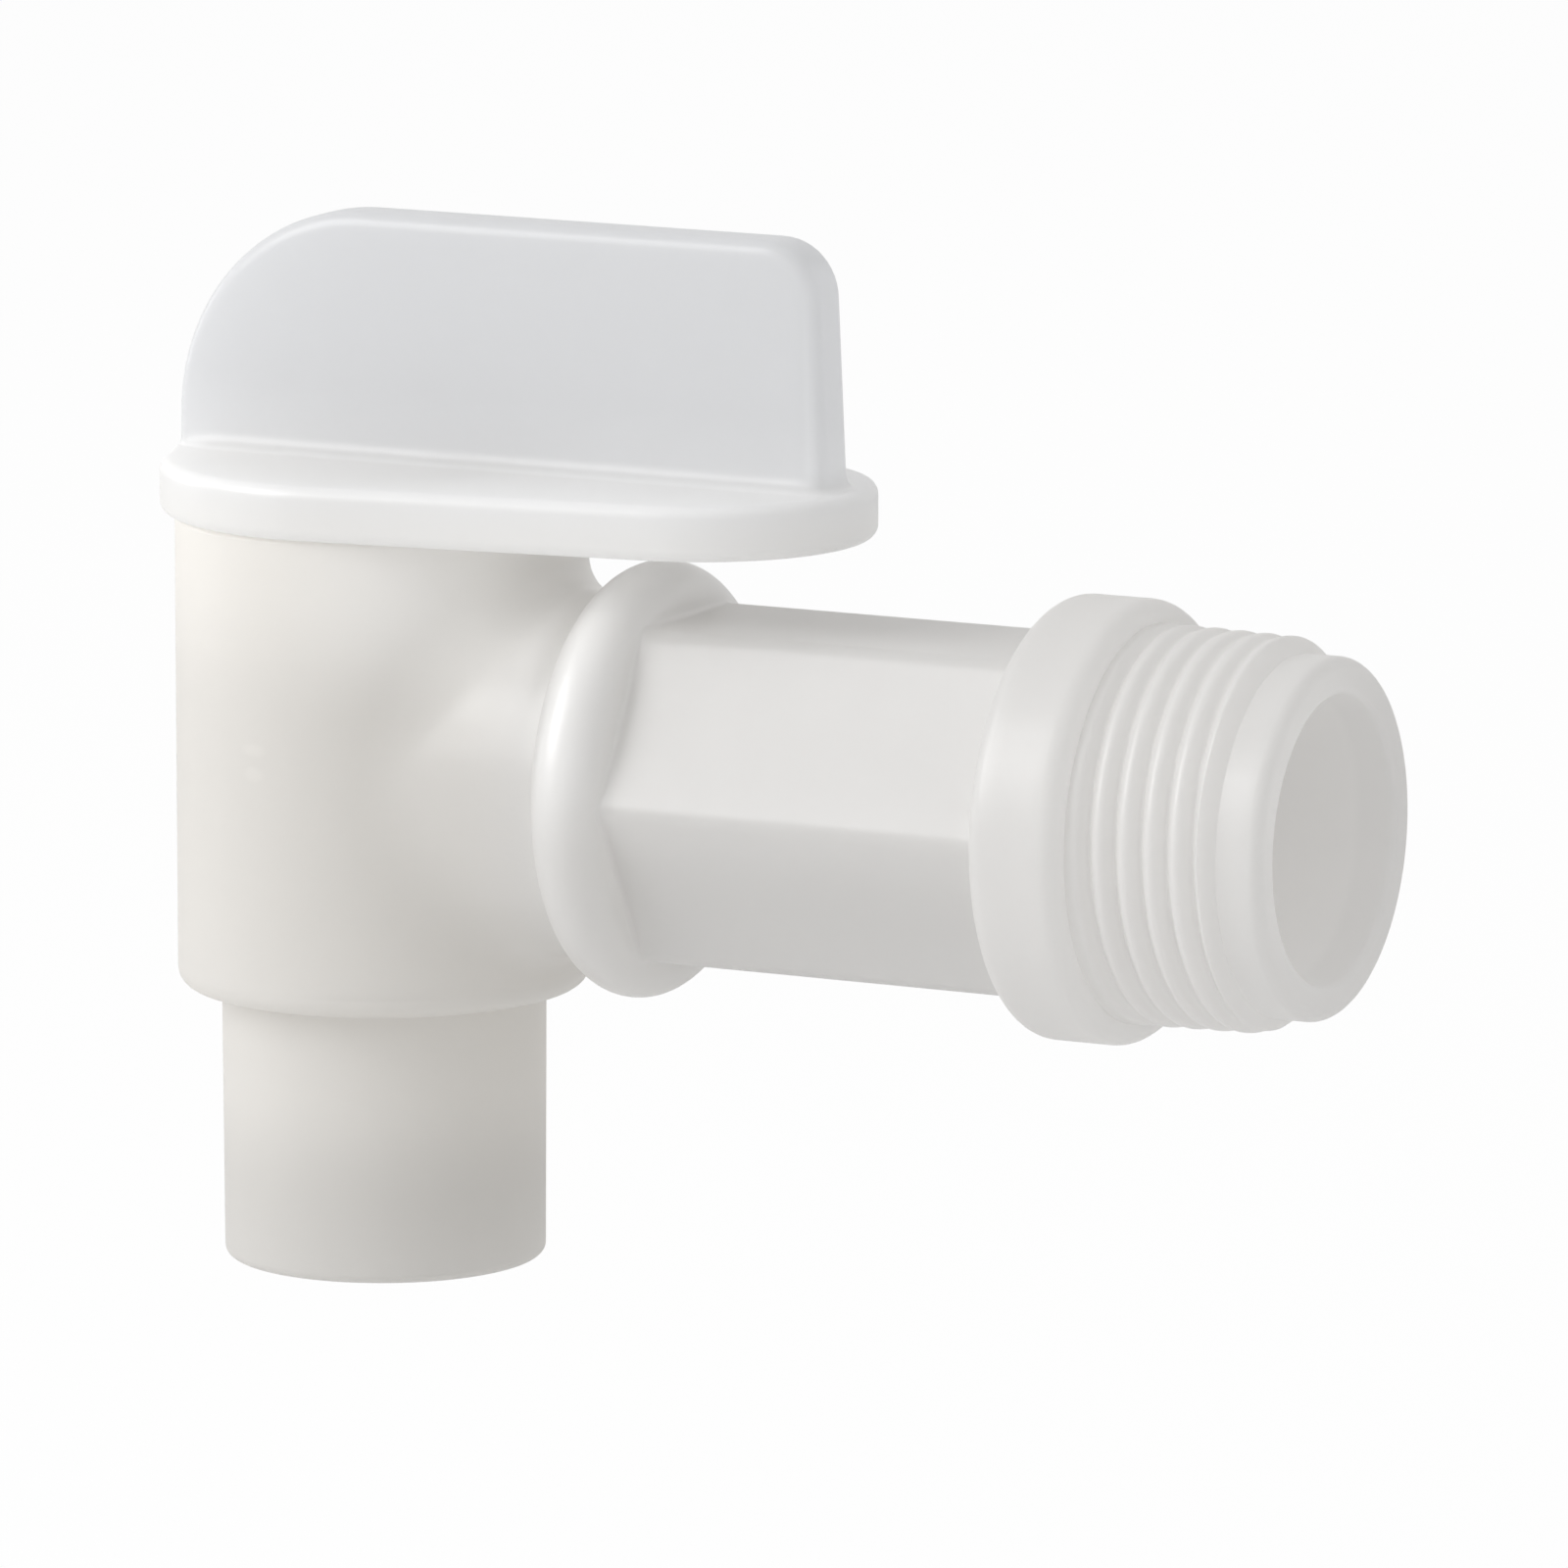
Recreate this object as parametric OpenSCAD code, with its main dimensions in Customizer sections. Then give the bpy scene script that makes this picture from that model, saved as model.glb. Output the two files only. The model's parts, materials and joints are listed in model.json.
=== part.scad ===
// Plug tap for a drum or jerrycan, moulded in natural polyethylene.
// Two mouldings: the body, with its threaded inlet, barrel and spout, and the
// hollow plug that turns in the barrel, with its plate and blade handle on top.
// Frame: the origin is where the inlet's axis meets the sealing face of the collar,
// +X runs out through the thread into the drum, +Z is up along the barrel.

/* [Barrel] */
// Outside diameter of the barrel
barrel_d = 27.8; // [26.6:0.1:30]
// Height of the barrel's rim above the inlet's axis
barrel_rise = 16.6; // [15.6:0.1:20]
// Depth of the barrel's shoulder below the inlet's axis
barrel_drop = 15.6; // [14:0.1:18]
// Rounding of the shoulder's outer edge
shoulder_edge = 1.3; // [0.4:0.1:2]
// Fillet between the shoulder and the spout
shoulder_root = 0.5; // [0.2:0.1:1]
// Thickness of the ledge under the plug
ledge_t = 2.4; // [1.6:0.1:3.2]

/* [Spout] */
// Outside diameter of the spout
spout_d = 21.8; // [20.4:0.1:23]
// Inside diameter of the spout
spout_bore_d = 18; // [14:0.1:18.6]
// Length of the spout below the shoulder
spout_length = 18.6; // [10:0.1:40]
// Rounding of the spout's lower edge
spout_edge = 0.7; // [0.2:0.1:0.8]

/* [Inlet neck] */
// Distance from the barrel's axis to the sealing face of the collar
reach = 57.2; // [48:0.1:80]
// Diameter of the round boss that leaves the barrel
boss_d = 24.6; // [23.4:0.1:25.6]
// Outside diameter of the fat round bead
bead_d = 29.3; // [28.4:0.1:31]
// Width of the bead along the inlet
bead_w = 5; // [4:0.1:6]
// Distance from the barrel's axis to the middle of the bead
bead_x = 20.5; // [19:0.1:24]
// Width across the flats of the hexagonal neck
neck_af = 22.4; // [21.6:0.1:23.4]
// How far the neck's corners are turned off
neck_corner = 0.2; // [0.05:0.01:0.4]

/* [Collar and thread] */
// Diameter of the collar
collar_d = 29.4; // [28:0.1:34]
// Width of the collar
collar_w = 6.6; // [4:0.1:9]
// Rounding of the collar's edges
collar_edge = 1.3; // [0.4:0.1:1.8]
// Outside diameter of the male thread
thread_d = 26.44; // [26:0.01:27]
// Length of the thread from the sealing face
thread_length = 10.2; // [8:0.1:16]
// Depth of the thread, from its outside diameter to its root
thread_depth = 1.16; // [0.8:0.01:1.3]
// Distance from one ridge of the thread to the next
thread_pitch = 1.814; // [1.6:0.001:2.4]
// Width of the flat on top of each ridge
thread_crest = 0.5; // [0.3:0.05:0.8]
// Width of the flat at the root between two ridges
thread_root = 0.3; // [0.1:0.05:0.6]
// Length of the plain strip between the collar and the first groove
thread_plain = 0.35; // [0.2:0.05:2]
// How far the lead-in ring stands below the thread's root
lead_drop = 0.1; // [0:0.05:0.3]
// Length of the plain lead-in ring in front of the thread
lead_length = 3.1; // [2:0.1:5]
// Rounding of the lead-in ring's outer edge
lead_edge = 0.8; // [0.3:0.1:1]
// Inside diameter of the threaded end and the neck
inlet_bore_d = 19; // [16:0.1:19.4]
// Rounding of the open end's inner edge
mouth_edge = 0.5; // [0.2:0.1:0.8]
// Distance from the barrel's axis to the bottom of the wide bore
inlet_bore_start = 24; // [20:0.1:32]
// Diameter of the port through the barrel's wall and the plug's wall
port_d = 14; // [10:0.1:14.6]

/* [Plug] */
// Diameter of the plug at the barrel's rim
plug_top_d = 22.5; // [21.8:0.1:23]
// Diameter of the plug at its lower end
plug_bottom_d = 22.1; // [21.2:0.1:22.4]
// Thickness of the plug's wall at its lower end
plug_wall = 2; // [1.6:0.1:2.6]
// Gap between the plug and the barrel, measured on the radius
plug_clearance = 0.08; // [0.04:0.01:0.1]
// Gap under the plug, above the ledge
plug_end_gap = 0.4; // [0.2:0.1:0.8]
// Gap between the handle's plate and the barrel's rim
seat_gap = 0.05; // [0.02:0.01:0.2]
// Height of the snap ring that keeps the plug in, on the radius
snap_h = 0.45; // [0.2:0.05:0.6]
// Width of the snap ring
snap_w = 1.8; // [1.2:0.1:2.4]
// Distance from the barrel's rim down to the middle of the snap ring
snap_depth = 3.6; // [3:0.1:4.6]

/* [Handle] */
// Width of the plate over the barrel, which is the diameter of its large round end
plate_w = 29.8; // [29:0.1:34]
// Diameter of the plate's small round end
plate_tip_d = 23.3; // [16:0.1:28]
// Distance between the centres of the plate's round ends
plate_span = 24.2; // [16:0.1:30]
// Thickness of the plate
plate_t = 3.7; // [2.8:0.1:4.5]
// Rounding of the plate's edges
plate_edge = 0.8; // [0.3:0.1:1.2]
// Material left over the plug's hollow
roof_t = 2.6; // [2:0.1:4]
// Thickness of the blade
blade_t = 4.2; // [3:0.1:6]
// Height of the blade above the plate
blade_h = 16.6; // [14.6:0.1:26]
// Rounding of the blade's edges
blade_edge = 1; // [0.4:0.1:1.4]
// Width of the plate's ledge behind the blade
blade_back_ledge = 0.6; // [0.4:0.1:3]
// Width of the plate's ledge in front of the blade
blade_front_ledge = 2.5; // [0.9:0.1:4]
// Length of the blade's large rear curve along the blade
blade_curve_x = 10.8; // [6:0.1:14]
// Height of the blade's large rear curve
blade_curve_z = 13.9; // [8:0.1:14.5]
// Radius of the blade's upper front corner
blade_corner = 4; // [2:0.1:7]
// How far the blade's front edge leans back from foot to top
blade_lean = 0.5; // [0:0.1:1.5]
// Fillet along the blade's foot
blade_root = 0.7; // [0.3:0.1:1.2]

/* [Hidden] */
$fn = 96;

ARC_STEPS = 8;
CURVE_STEPS = 14;
OVERLAP = 0.5;
RUN_INSET = 0.02;

barrel_r = barrel_d / 2;
spout_r = spout_d / 2;
spout_bore_r = spout_bore_d / 2;
spout_end_z = -barrel_drop - spout_length;
floor_z = -barrel_drop + ledge_t;

boss_r = boss_d / 2;
bead_r = bead_d / 2;
bead_tube = bead_w / 2;
neck_r = neck_af / (2 * cos(30));
collar_r = collar_d / 2;
collar_x = reach - collar_w;
thread_r = thread_d / 2;
lead_r = thread_r - thread_depth - lead_drop;
thread_x = reach + thread_length;
thread_groove_room = thread_length - thread_plain - thread_depth / 2;
thread_grooves_n = max(1, floor(thread_groove_room / thread_pitch));
thread_slope_x = reach + thread_plain + thread_grooves_n * thread_pitch;
inlet_end_x = thread_x + lead_length;
inlet_bore_r = inlet_bore_d / 2;
port_r = port_d / 2;

plug_end_z = floor_z + plug_end_gap;
plug_hollow_r = plug_bottom_d / 2 - plug_wall;
snap_z = barrel_rise - snap_depth;
plate_z = barrel_rise + seat_gap;
plate_top_z = plate_z + plate_t;
plate_r = plate_w / 2;
plate_tip_r = plate_tip_d / 2;
plate_taper = asin((plate_r - plate_tip_r) / plate_span);
hollow_top_z = plate_top_z - roof_t;

blade_foot_back = -plate_r + blade_back_ledge;
blade_foot_front = plate_span + plate_tip_r - blade_front_ledge;
blade_top_z = plate_top_z + blade_h;
blade_foot_z = plate_top_z - OVERLAP;

BODY_WHITE = [0.90, 0.89, 0.86];
HANDLE_WHITE = [0.87, 0.88, 0.90];

// Points of an arc about [x, y], from one angle to another
function arc(x, y, radius, from, to, steps = ARC_STEPS) =
    [for (i = [0:steps])
        let (a = from + (to - from) * i / steps)
        [x + radius * cos(a), y + radius * sin(a)]];

// Radius of the plug's taper at a height
function plug_r(z) =
    (plug_bottom_d + (plug_top_d - plug_bottom_d) * (z - plug_end_z) / (barrel_rise - plug_end_z)) / 2;

// A solid turned about the inlet's axis, from points [radius, distance from the barrel's axis]
module turned_on_inlet(points) {
    rotate([0, 90, 0]) rotate_extrude() polygon(points);
}

// Barrel, shoulder and spout, all turned about the barrel's axis
module barrel_skin() {
    rotate_extrude() polygon(concat(
        [[0, barrel_rise], [barrel_r, barrel_rise]],
        arc(barrel_r - shoulder_edge, -barrel_drop + shoulder_edge, shoulder_edge, 0, -90),
        arc(spout_r + shoulder_root, -barrel_drop - shoulder_root, shoulder_root, 90, 180),
        arc(spout_r - spout_edge, spout_end_z + spout_edge, spout_edge, 0, -90),
        [[0, spout_end_z]]));
}

// Round boss that leaves the barrel and runs on under the bead
module boss() {
    rotate([0, 90, 0]) cylinder(r = boss_r, h = bead_x);
}

// Fat bead: a disc with a half-round crown
module bead() {
    turned_on_inlet(concat(
        [[0, bead_x - bead_tube]],
        arc(bead_r - bead_tube, bead_x, bead_tube, -90, 90, 2 * ARC_STEPS),
        [[0, bead_x + bead_tube]]));
}

// Collar with both edges rounded; its front face seals against the drum
module collar() {
    turned_on_inlet(concat(
        [[0, collar_x]],
        arc(collar_r - collar_edge, collar_x + collar_edge, collar_edge, -90, 0),
        arc(collar_r - collar_edge, reach - collar_edge, collar_edge, 0, 90),
        [[0, reach]]));
}

// Grooves between the thread's ridges, as plain rings at its pitch: points [radius, distance]
function thread_grooves() =
    let (flank = (thread_pitch - thread_crest - thread_root) / 2)
    [for (i = [0:thread_grooves_n - 1])
        let (start = reach + thread_plain + i * thread_pitch)
        let (bottom = start + flank)
        each [[thread_r, start], [thread_r - thread_depth, bottom],
              [thread_r - thread_depth, bottom + thread_root],
              [thread_r, bottom + thread_root + flank]]];

// Threaded end: a plain strip, the ridges, a slope down from the last one, the lead-in ring
module threaded_end() {
    turned_on_inlet(concat(
        [[0, reach - OVERLAP], [thread_r, reach - OVERLAP]],
        thread_grooves(),
        [[thread_r, thread_slope_x], [lead_r, thread_x]],
        arc(lead_r - lead_edge, inlet_end_x - lead_edge, lead_edge, 0, 90),
        [[0, inlet_end_x]]));
}

// Hexagonal wrench neck, with flats above and below and its corners turned off
module neck() {
    intersection() {
        translate([bead_x, 0, 0]) rotate([0, 90, 0]) rotate([0, 0, 30])
            cylinder(r = neck_r, h = collar_x + collar_edge - bead_x, $fn = 6);
        translate([bead_x - OVERLAP, 0, 0]) rotate([0, 90, 0])
            cylinder(r = neck_r - neck_corner, h = collar_x - bead_x + collar_edge + 2 * OVERLAP);
    }
}

// Tapered seat for the plug, with the groove of the snap ring, and the spout's bore
module barrel_bore() {
    groove = snap_w / 2 + plug_clearance;
    rotate_extrude() polygon([
        [0, spout_end_z - OVERLAP],
        [spout_bore_r, spout_end_z - OVERLAP],
        [spout_bore_r, floor_z],
        [plug_r(floor_z) + plug_clearance, floor_z],
        [plug_r(snap_z - groove) + plug_clearance, snap_z - groove - snap_h],
        [plug_r(snap_z) + plug_clearance + snap_h, snap_z - groove],
        [plug_r(snap_z) + plug_clearance + snap_h, snap_z + groove],
        [plug_r(snap_z + groove) + plug_clearance, snap_z + groove + snap_h],
        [plug_r(barrel_rise) + plug_clearance, barrel_rise - snap_h],
        [plug_r(barrel_rise) + plug_clearance + snap_h, barrel_rise],
        [plug_r(barrel_rise) + plug_clearance + snap_h, barrel_rise + OVERLAP],
        [0, barrel_rise + OVERLAP]]);
}

// Wide bore of the threaded end and neck, narrowing to the port at the barrel
module inlet_bore() {
    mouth_x = inlet_end_x - mouth_edge;
    turned_on_inlet(concat(
        [[0, 0], [port_r, 0], [port_r, inlet_bore_start - (inlet_bore_r - port_r)],
         [inlet_bore_r, inlet_bore_start]],
        arc(inlet_bore_r + mouth_edge, mouth_x, mouth_edge, 180, 90),
        [[inlet_bore_r + mouth_edge, inlet_end_x + OVERLAP], [0, inlet_end_x + OVERLAP]]));
}

module tap_body() {
    color(BODY_WHITE) translate([-reach, 0, 0]) difference() {
        union() {
            barrel_skin();
            boss();
            bead();
            neck();
            collar();
            threaded_end();
        }
        barrel_bore();
        inlet_bore();
    }
}

// Tapered plug with its snap ring, up to the underside of the plate
module plug_skin() {
    rotate_extrude() polygon([
        [0, plug_end_z],
        [plug_r(plug_end_z) - snap_h, plug_end_z],
        [plug_r(plug_end_z), plug_end_z + snap_h],
        [plug_r(snap_z - snap_w / 2), snap_z - snap_w / 2],
        [plug_r(snap_z) + snap_h, snap_z - snap_w / 2 + snap_h],
        [plug_r(snap_z) + snap_h, snap_z + snap_w / 2 - snap_h],
        [plug_r(snap_z + snap_w / 2), snap_z + snap_w / 2],
        [plug_r(barrel_rise), barrel_rise],
        [plug_r(barrel_rise), plate_z + OVERLAP],
        [0, plate_z + OVERLAP]]);
}

// Hollow of the plug, open at the bottom, rounded under its roof
module plug_hollow() {
    roof_round = plug_wall;
    rotate_extrude() polygon(concat(
        [[0, plug_end_z - OVERLAP], [plug_hollow_r, plug_end_z - OVERLAP]],
        arc(plug_hollow_r - roof_round, hollow_top_z - roof_round, roof_round, 0, 90),
        [[0, hollow_top_z]]));
}

// Half section of the plate, from a centre line out to its rounded edge
function plate_section(half_width) = concat(
    [[0, plate_z]],
    arc(half_width - plate_edge, plate_z + plate_edge, plate_edge, -90, 0),
    arc(half_width - plate_edge, plate_top_z - plate_edge, plate_edge, 0, 90),
    [[0, plate_top_z]]);

// Plate with rounded edges: a large and a small turned end, and a run along each side.
// The runs lie just inside the line that touches both circles, so that the faces cross.
module plate() {
    rotate_extrude() polygon(plate_section(plate_r));
    translate([plate_span, 0, 0]) rotate_extrude() polygon(plate_section(plate_tip_r));
    for (side = [0, 1])
        mirror([0, side, 0]) rotate([0, 0, -plate_taper]) rotate([90, 0, 90])
            linear_extrude(height = plate_span * cos(plate_taper))
                polygon(plate_section(plate_r - RUN_INSET));
}

// Outline of the blade seen from the side, drawn in by an inset all round but at its foot
function blade_outline(inset) = concat(
    [[blade_foot_back + inset, blade_foot_z]],
    [for (i = [0:CURVE_STEPS])
        let (a = 180 - 90 * i / CURVE_STEPS)
        [blade_foot_back + blade_curve_x + (blade_curve_x - inset) * cos(a),
         blade_top_z - blade_curve_z + (blade_curve_z - inset) * sin(a)]],
    arc(blade_foot_front - blade_lean - blade_corner, blade_top_z - blade_corner,
        blade_corner - inset, 90, 0),
    [[blade_foot_front - inset, blade_foot_z]]);

// Blade: its outline carried across the thickness, with both edges rounded
module blade() {
    stations = concat(
        [for (i = [0:ARC_STEPS / 2])
            let (a = 90 * i / (ARC_STEPS / 2))
            [-blade_t / 2 + blade_edge * (1 - cos(a)), blade_edge * (1 - sin(a))]],
        [for (i = [ARC_STEPS / 2:-1:0])
            let (a = 90 * i / (ARC_STEPS / 2))
            [blade_t / 2 - blade_edge * (1 - cos(a)), blade_edge * (1 - sin(a))]]);
    count = len(blade_outline(0));
    last = len(stations) - 1;
    polyhedron(
        points = [for (s = stations) for (p = blade_outline(s[1])) [p[0], s[0], p[1]]],
        faces = concat(
            [[for (i = [0:count - 1]) i]],
            [[for (i = [count - 1:-1:0]) last * count + i]],
            [for (k = [0:last - 1]) for (i = [0:count - 1])
                let (j = (i + 1) % count)
                [k * count + j, k * count + i, (k + 1) * count + i, (k + 1) * count + j]]));
}

// Fillets along both sides of the blade's foot
module blade_fillets() {
    start = blade_foot_back + blade_edge;
    run = blade_foot_front - blade_edge - start;
    for (side = [0, 1])
        mirror([0, side, 0]) translate([start, blade_t / 2, plate_top_z]) rotate([90, 0, 90])
            linear_extrude(height = run) polygon(concat(
                [[-OVERLAP, -OVERLAP], [blade_root, -OVERLAP]],
                arc(blade_root, blade_root, blade_root, -90, -180),
                [[-OVERLAP, blade_root]]));
}

module plug_handle() {
    color(HANDLE_WHITE) translate([-reach, 0, 0]) difference() {
        union() {
            plug_skin();
            plate();
            blade();
            blade_fillets();
        }
        plug_hollow();
        rotate([0, 90, 0]) cylinder(r = port_r, h = barrel_r);
    }
}

tap_body();
plug_handle();
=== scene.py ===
# Plug tap for a drum or jerrycan, moulded in natural polyethylene: the looks of its two mouldings.
import json
import math

import bmesh
import bpy
import numpy as np
from mathutils import Matrix, Vector


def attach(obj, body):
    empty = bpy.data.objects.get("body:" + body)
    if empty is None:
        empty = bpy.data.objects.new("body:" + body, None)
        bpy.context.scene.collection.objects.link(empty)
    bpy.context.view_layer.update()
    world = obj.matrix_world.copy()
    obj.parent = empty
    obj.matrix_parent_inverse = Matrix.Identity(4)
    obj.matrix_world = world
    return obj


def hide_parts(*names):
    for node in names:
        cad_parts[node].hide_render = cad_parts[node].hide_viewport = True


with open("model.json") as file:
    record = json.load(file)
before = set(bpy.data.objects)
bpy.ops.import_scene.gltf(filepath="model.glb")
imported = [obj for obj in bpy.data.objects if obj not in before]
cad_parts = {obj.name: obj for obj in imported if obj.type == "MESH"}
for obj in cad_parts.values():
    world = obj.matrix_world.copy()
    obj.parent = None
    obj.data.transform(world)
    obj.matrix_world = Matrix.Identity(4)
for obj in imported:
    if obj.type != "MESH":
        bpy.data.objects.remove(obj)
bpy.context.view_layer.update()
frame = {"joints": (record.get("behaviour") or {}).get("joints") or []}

# Sizes are in millimetres, measured from the point where the barrel's axis meets the inlet's axis.
MM = 0.001
joint = frame["joints"][0]
REACH = -joint["pos_m"][0] / MM

# Barrel, shoulder and spout
BARREL_R = 13.9
BARREL_TOP = 16.6
SHOULDER_Z = -15.6
SHOULDER_EDGE = 1.3
SHOULDER_ROOT = 0.5
RIM_EDGE = 0.35
SPOUT_TOP_R = 10.95
SPOUT_END_R = 10.85
SPOUT_END_Z = -34.2
SPOUT_EDGE = 0.7
SPOUT_BORE_R = 9.0
SEAT_FLOOR_Z = -13.2
FLOOR_ROOT = 0.4

# Inlet: boss, bead, hexagonal neck, collar
BOSS_R = 12.3
SADDLE_R = 1.5
SADDLE_SIDE_R = 9.0
BEAD_X = 20.5
BEAD_TUBE = 2.5
BEAD_R = 14.65
CREASE_R = 0.35
NECK_SIDES = 6
NECK_HALF_SIDE = 180 / NECK_SIDES
NECK_FLAT = 11.2
NECK_EDGE = 1.4
NECK_SINK = 0.07
COLLAR_X = 50.6
COLLAR_R = 14.7
COLLAR_EDGE = 1.3
COLLAR_ROOT = 0.45

# Thread and lead-in ring: 14 threads to the inch. The ridges keep the share THREAD_PARTING of
# their depth at the top and the bottom, where the mould parts. They start THREAD_PLAIN from the
# collar and reach their depth over THREAD_RUN_IN.
THREAD_R = 13.22
THREAD_TAPER = 0.22
THREAD_DEPTH = 0.85
THREAD_PARTING = 0.3
THREAD_PITCH = 25.4 / 14
THREAD_PLAIN = 0.3
THREAD_RUN_IN = 0.9
THREAD_START = 0.217
THREAD_SHARPNESS = 0.6
THREAD_END_X = 67.4
THREAD_END_SLOPE = 1.1
LEAD_R = 11.96
LEAD_EDGE = 0.9
INLET_END_X = 70.5
INLET_BORE_R = 9.5
MOUTH_EDGE = 0.5
BORE_START_X = 24.0
BORE_STEP_EDGE = 0.6
PORT_R = 7.0

# Plug
PLUG_TOP_R = 11.25
PLUG_END_R = 11.05
PLUG_END_Z = -12.8
PLUG_CLEARANCE = 0.08
HOLLOW_R = 9.05
HOLLOW_TOP_Z = 17.75
HOLLOW_ROUND = 2.0
SNAP_Z = 13.0
SNAP_HALF = 0.9
SNAP_H = 0.45
SNAP_ROOT = 0.1

# Small roundings inside the bores and on the plug
FINE_EDGE = 0.15
SOFT_EDGE = 0.2
BORE_LIP = 0.3

# Plate and blade of the handle
PLATE_Z = 16.65
PLATE_TOP_Z = 20.35
PLATE_R = 14.89
PLATE_TIP_R = 11.65
PLATE_SPAN = 24.2
PLATE_EDGE = 0.85
BLADE_HALF = 2.1
BLADE_EDGE = 1.0
BLADE_BACK_X = -14.6
BLADE_FRONT_X = 34.15
BLADE_TOP_Z = 36.95
BLADE_CURVE_X = 14.0
BLADE_CURVE_Z = 14.4
BLADE_CORNER = 4.0
BLADE_LEAN = 0.5
BLADE_ROOT = 1.2
BLADE_DRAFT = 0.05
BLADE_SINK = 0.06
# The widest share of a narrow ledge beside the blade that an edge or a root fillet takes
LEDGE_EDGE_SHARE = 0.5
LEDGE_ROOT_SHARE = 0.42

# Two small raised marks on the barrel, drawn a little lighter in colour: their place round the
# barrel, how they show, and the height, half width and half height of each
MARK_TURN = math.radians(-99.8)
MARK_RELIEF = 9.0
MARK_LIGHT = 0.03
MARKS = ((2.25, 1.2, 0.55), (0.6, 1.0, 0.65))

# How far a wall with a hole in it stays clear of the roundings above and below it
BARREL_MARGIN = 0.1
SEAT_TOP_MARGIN = 1.6
SEAT_FLOOR_MARGIN = 0.5
PLUG_TOP_MARGIN = 0.3
PLUG_END_MARGIN = 0.8

# How finely the surfaces are divided: stations run round the inlet, columns round the barrel.
STATIONS = 240
PATCH_TOP = 68
PATCH_SIDE = 52
COLUMNS = 2 * PATCH_TOP
# How strongly the stations are drawn to the neck's edges, and the steps of a rounding
CLUSTER = 0.55
ARC = 7
CREASE_STEPS = 4
BEAD_STEPS = 12
BEAD_FINE_STEPS = 40
SADDLE_STEPS = 10
THREAD_ROWS = 90
PORT_STEPS = 3
PLATE_UNDER_STEPS = 5
PLATE_TOP_STEPS = 8
# Millimetres of the plate's outline that lie beside the blade's end, on each side of the middle
PLATE_END_RUN = 4
OUTLINE_FINE_STEPS = 1200
BLADE_ACROSS = 10
BLADE_ALONG = 58
BLADE_UP = 22
BLADE_CURVE_POINTS = 28
BLADE_CORNER_POINTS = 13

# Points of the curve and of the corner at which the blade's face has its own corners
CURVE_SPLIT = 17
CORNER_SPLIT = 6

# Vertices closer than WELD metres are one, and edges sharper than SHARP show as edges.
WELD = 3e-6
SHARP = math.radians(38)

# Looks of the plastic: painted light and shade make some zones lighter or darker, and walls
# near the plug show creamier. A ramp is (start, end, value before, value after), in millimetres
# in the part's frame.
BODY_PLAIN = (0.90, 0.895, 0.889)
BODY_CREAMY = (0.905, 0.893, 0.872)
BODY_CREAM_X = (-46, -38, 1.0, 0.2)
# Painted shade: the spout darker towards its lower end.
SPOUT_PAINTED_SHADE_Z = (-29, -21, 0.90, 1.0)
BARREL_X_RAMP = (-37, -34, 1.0, 0.0)
# Painted light: the barrel a little lighter all over, and more towards its top under the plate.
BARREL_PAINTED_LIGHT = 0.02
BARREL_PAINTED_LIGHT_Z = (4, 14, 0.0, 0.083)
# Painted light: the bead a little lighter below its top.
BEAD_PAINTED_LIGHT = 0.02
BEAD_PAINTED_LIGHT_X = (-40.5, -39, 0.0, 1.0)
BEAD_PAINTED_LIGHT_Z = (2, 8, 1.0, 0.0)
# Painted shade: the lower half of the neck darker, from the bead to the collar.
NECK_SHADE = 0.035
NECK_SHADE_X = (-9, -7, 1.0, 0.0)
NECK_SHADE_Z = (-5, 2, 1.0, 0.0)
# Painted light: the collar, thread and bore lighter, and painted shade towards the mouth.
END_PAINTED_LIGHT_X = (-7, 0, 0.0, 0.055)
MOUTH_SHADE_X = (10, 11, 0.0, 0.03)
FRONT_SIDE_Y = (-1, 1, 1.0, 0.0)
HANDLE_PLAIN = (0.90, 0.905, 0.915)
HANDLE_CREAMY = (0.905, 0.90, 0.89)
HANDLE_CREAM_Z = (17, 22, 1.0, 0.0)
# Painted light on the plate, and painted shade on the blade higher up.
PLATE_PAINTED_LIGHT_Z = (20.35, 20.9, 1.09, 1.01)
BLADE_SHADE_Z = (21.5, 26, 1.0, 0.956)
# Painted light: the blade's end lighter above the plate.
BLADE_END_PAINTED_LIGHT_X = (-24.8, -23.8, 0.0, 0.07)
BLADE_END_PAINTED_LIGHT_Z = (20.5, 22, 0.0, 1.0)

# The share of the light that comes through from behind, and how much less comes through where
# the plastic is denser
CLEAR = 0.6
BODY_DENSE = 0.3
DENSE_BARREL_FROM_X = (-60, -48, 0.0, 1.0)
DENSE_BARREL_TO_X = (-42, -40, 1.0, 0.0)
DENSE_BARREL_Z = (4, 13, 0.0, 1.0)
DENSE_BEAD_FROM_X = (-39, -36.5, 0.0, 1.0)
DENSE_BEAD_TO_X = (-34.5, -33.5, 1.0, 0.0)
DENSE_BEAD_Z = (-4, 4, 0.0, 1.0)
HANDLE_DENSE = 0.18
DENSE_PLATE_FROM_Z = (19.4, 20.2, 0.0, 1.0)
DENSE_PLATE_TO_Z = (20.35, 20.7, 1.0, 0.0)

# Surface of the plastic: moulded ripple, cloudiness, and faint scuffs where streaks and clouds meet
RIPPLE_SCALE = 260.0
CLOUD_SCALE = 45.0
STREAK_SCALE = (90.0, 60.0, 900.0)
STREAK_START, STREAK_GAIN = 0.6, 9.0
SCUFF_START, SCUFF_GAIN = 0.42, 5.0
CLOUD_SHADE = 0.015
SATIN = 0.29
RIPPLE_SATIN = 0.07
SCUFF_SATIN = 0.08
PLASTIC_IOR = 1.5
SURFACE_SHINE = 1.0
BUMP_STRENGTH = 0.07
BUMP_DEPTH = 0.0002

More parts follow.
